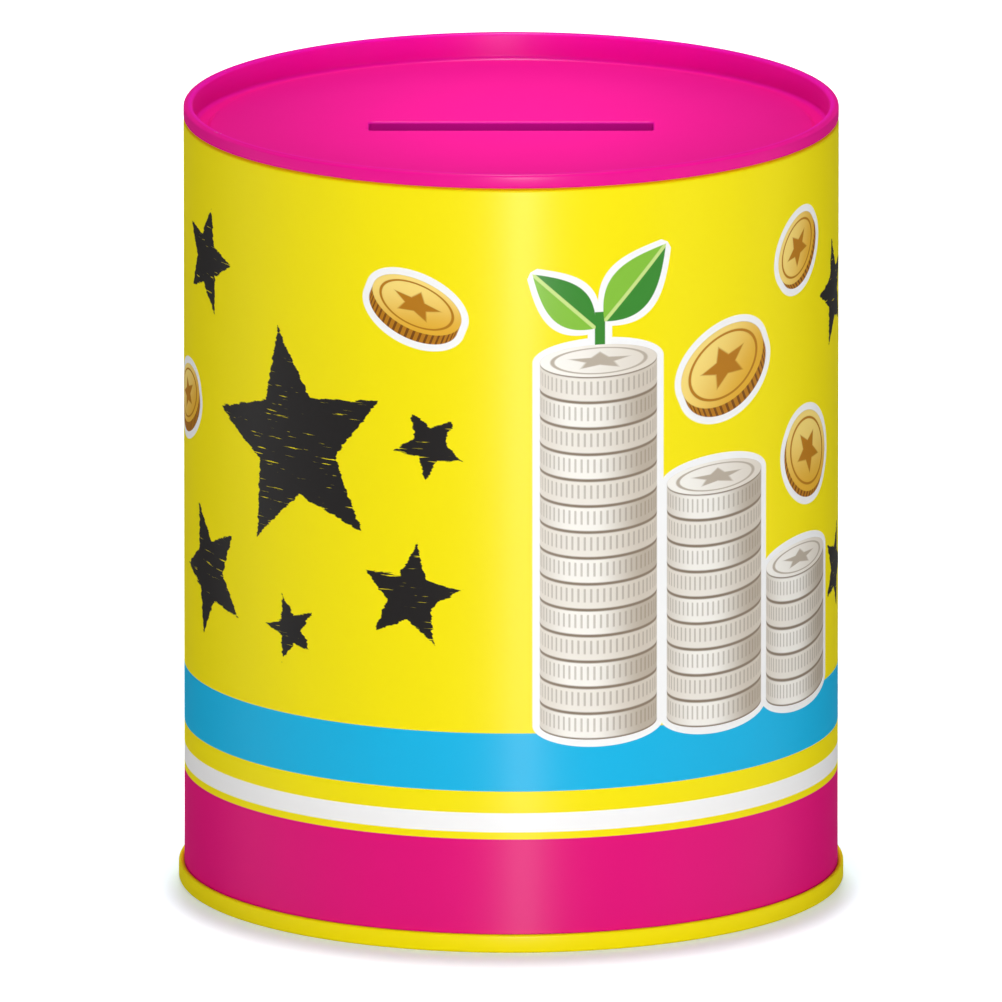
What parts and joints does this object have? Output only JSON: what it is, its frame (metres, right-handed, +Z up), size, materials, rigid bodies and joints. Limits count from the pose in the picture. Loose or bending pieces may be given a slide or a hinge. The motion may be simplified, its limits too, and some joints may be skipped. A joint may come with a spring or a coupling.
{
  "type": "tin money box",
  "caption": "Round tinplate money box with double-seamed ends, a coin slot in the recessed top panel and a soft stopper that pulls out of the base.",
  "frame": {"origin": "on the tin's axis, in the plane that the base rim rests on", "axes": "+Z up along the tin's axis; X along the coin slot; -Y towards the front, so the side seam is at +Y"},
  "size_m": [0.1008, 0.1008, 0.12],
  "materials": {
    "printed_tinplate": "glossy varnished print on tinplate",
    "pink_lacquer": "glossy lacquer on tinplate",
    "yellow_lacquer": "glossy lacquer on tinplate",
    "sealing_compound": "matt seam compound",
    "stopper_plastic": "soft black polyethylene"
  },
  "bodies": {
    "tin": {"body_wall": "printed_tinplate", "top_end": "pink_lacquer", "base_end": "yellow_lacquer", "top_seam_compound": "sealing_compound", "base_seam_compound": "sealing_compound"},
    "stopper": {"base_stopper": "stopper_plastic"}
  },
  "joints": [
    {"name": "stopper_pull", "type": "slide", "parent": "tin", "child": "stopper", "axis": [0, 0, -1], "range_m": [0, 0.045]}
  ]
}
